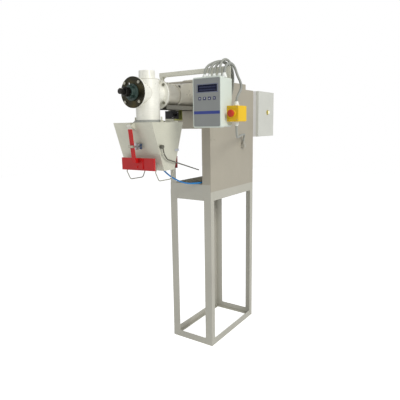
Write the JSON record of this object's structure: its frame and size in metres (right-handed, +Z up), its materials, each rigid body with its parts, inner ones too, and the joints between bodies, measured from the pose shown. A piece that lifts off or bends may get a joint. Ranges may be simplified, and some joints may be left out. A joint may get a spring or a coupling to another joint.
{
  "type": "auger powder filler",
  "caption": "Free-standing auger powder filler: welded stand, horizontal auger tube into a weighed spout with an air-operated bag clamp, arm-mounted controller and stop button.",
  "frame": {"origin": "on the floor under the middle of the whole object's outline", "axes": "+X to the operator's right, +Y from the operator into the machine, +Z up"},
  "size_m": [0.5946, 1.2466, 1.5507],
  "materials": {
    "frame_paint": "satin warm grey enamel",
    "panel_paint": "satin warm grey enamel",
    "tube_steel": "satin brushed stainless",
    "spout_steel": "satin brushed stainless",
    "dark_plate": "blackened plate",
    "bearing_green": "satin paint",
    "black_steel": "black",
    "bright_steel": "bright",
    "clamp_red": "gloss paint",
    "cylinder_alloy": "satin",
    "cell_black": "black anodised",
    "bracket_brass": "passivated",
    "seal_rubber": "soft",
    "case_plastic": "fine texture",
    "membrane": "printed film",
    "display": "clear window",
    "gland_white": "moulded",
    "cable_grey": "sheath",
    "conduit_grey": "corrugated",
    "hose_blue": "polyurethane",
    "stop_yellow": "moulded",
    "stop_red": "moulded",
    "lamp_yellow": "moulded",
    "drive_grey": "painted casting",
    "drive_alloy": "painted",
    "fan_plastic": "moulded"
  },
  "bodies": {
    "machine": {"stand_frame": "frame_paint", "upper_frame": "frame_paint", "right_panel": "panel_paint", "left_panel": "panel_paint", "front_panel": "panel_paint", "back_panel": "panel_paint", "top_cover": "panel_paint", "box_floor": "panel_paint", "feed_trough": "tube_steel", "column": "tube_steel", "vent_spigot": "tube_steel", "bearing_plate": "dark_plate", "bearing_housing": "bearing_green", "auger_tube": "tube_steel", "flange_bolts": "bright_steel", "gearbox": "drive_grey", "drive_pedestal": "drive_grey", "motor": "drive_alloy", "fan_cover": "drive_alloy", "support_beam": "frame_paint", "load_cell": "cell_black", "stop_bracket": "bracket_brass", "spout": "spout_steel", "column_seal": "seal_rubber", "front_cylinder": "cylinder_alloy", "rear_cylinder": "cylinder_alloy", "bag_wires": "bright_steel", "feeler_head": "black_steel", "arm": "frame_paint", "ctrl_case": "case_plastic", "ctrl_front": "case_plastic", "ctrl_membrane": "membrane", "ctrl_display": "display", "cable_glands": "gland_white", "stop_box": "stop_yellow", "stop_lid": "stop_yellow", "cable_1": "cable_grey", "cable_2": "cable_grey", "cable_3": "cable_grey", "cable_4": "cable_grey", "stop_conduit": "conduit_grey", "stop_cable": "cable_grey", "hose_1": "hose_blue", "hose_2": "hose_blue", "cabinet_body": "case_plastic", "cabinet_lid": "case_plastic", "cabinet_lamp": "lamp_yellow", "air_valve": "drive_alloy"},
    "auger_drive": {"auger": "black_steel", "shaft_collar": "black_steel", "coupling": "bright_steel"},
    "fan": {"motor_fan": "fan_plastic"},
    "front_clamp_arm": {"front_clamp_lever": "clamp_red", "front_clamp_jaw": "clamp_red"},
    "rear_clamp_arm": {"rear_clamp_lever": "clamp_red", "rear_clamp_jaw": "clamp_red"},
    "front_rod": {"front_cylinder_rod": "bright_steel"},
    "rear_rod": {"rear_cylinder_rod": "bright_steel"},
    "feeler": {"feeler_rod": "black_steel"},
    "stop_mushroom": {"stop_button": "stop_red"}
  },
  "joints": [
    {"name": "auger_spin", "type": "hinge", "parent": "machine", "child": "auger_drive", "pos_m": [-0.15975, -0.58025, 1.413], "axis": [0, 1, 0], "continuous": true},
    {"name": "fan_spin", "type": "hinge", "parent": "machine", "child": "fan", "pos_m": [-0.15975, 0.33675, 1.413], "axis": [0, 1, 0], "continuous": true},
    {"name": "front_clamp", "type": "hinge", "parent": "machine", "child": "front_clamp_arm", "pos_m": [-0.15975, -0.56725, 1.262], "axis": [1, 0, 0], "range_deg": [0, 6.5]},
    {"name": "rear_clamp", "type": "hinge", "parent": "machine", "child": "rear_clamp_arm", "pos_m": [-0.15975, -0.30225, 1.262], "axis": [-1, 0, 0], "range_deg": [0, 6.5]},
    {"name": "front_rod_slide", "type": "slide", "parent": "machine", "child": "front_rod", "axis": [0, 1, 0], "range_m": [0, 0.0118]},
    {"name": "rear_rod_slide", "type": "slide", "parent": "machine", "child": "rear_rod", "axis": [0, -1, 0], "range_m": [0, 0.0118]},
    {"name": "feeler_swing", "type": "hinge", "parent": "machine", "child": "feeler", "pos_m": [-0.02975, -0.49625, 1.168], "axis": [1, 0, 0], "range_deg": [0, 12], "stiffness_Nm_per_rad": 0.3, "springref_deg": -17.19},
    {"name": "stop_press", "type": "slide", "parent": "machine", "child": "stop_mushroom", "axis": [0, 1, 0], "range_m": [0, 0.005], "stiffness_N_per_m": 500}
  ],
  "couplings": [
    {"joint": "fan_spin", "follows": "auger_spin", "ratio": 20},
    {"joint": "rear_clamp", "follows": "front_clamp", "ratio": 1},
    {"joint": "front_rod_slide", "follows": "front_clamp", "m_per_rad": 0.093},
    {"joint": "rear_rod_slide", "follows": "front_clamp", "m_per_rad": 0.093}
  ]
}
